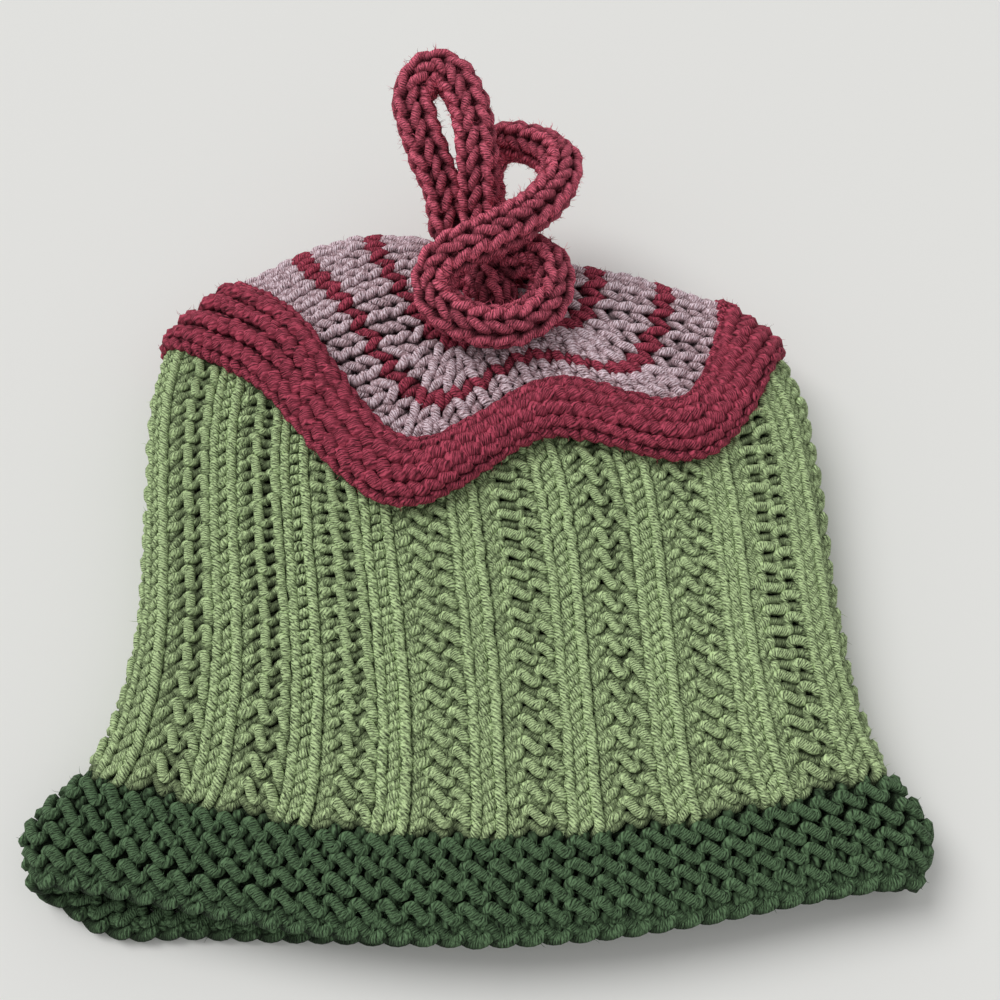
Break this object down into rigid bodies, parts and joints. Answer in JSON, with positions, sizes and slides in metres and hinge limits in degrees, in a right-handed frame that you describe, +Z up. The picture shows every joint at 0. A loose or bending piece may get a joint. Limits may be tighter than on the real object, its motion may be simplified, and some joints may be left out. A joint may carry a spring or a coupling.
{
  "type": "knitted beanie",
  "caption": "Child's knitted beanie with a garter-stitch brim, ribbed body, rolled welt, five-sided crown and a looped cord topknot, lying flat on its back layer.",
  "frame": {"origin": "centre of the hat's bounding box in X and Y, on the surface it rests on", "axes": "+X across the hat to its right as seen from above with the brim toward the viewer, +Y from the brim to the crown, +Z up from the surface"},
  "size_m": [0.2308, 0.2482, 0.0689],
  "materials": {
    "dark_green_wool": "matte",
    "sage_green_wool": "matte",
    "raspberry_wool": "matte",
    "lilac_wool": "matte"
  },
  "bodies": {
    "root": {"brim": "dark_green_wool", "body": "sage_green_wool", "welt": "raspberry_wool", "crown": "lilac_wool", "topknot_loop": "raspberry_wool", "topknot_curl": "raspberry_wool"}
  },
  "joints": []
}
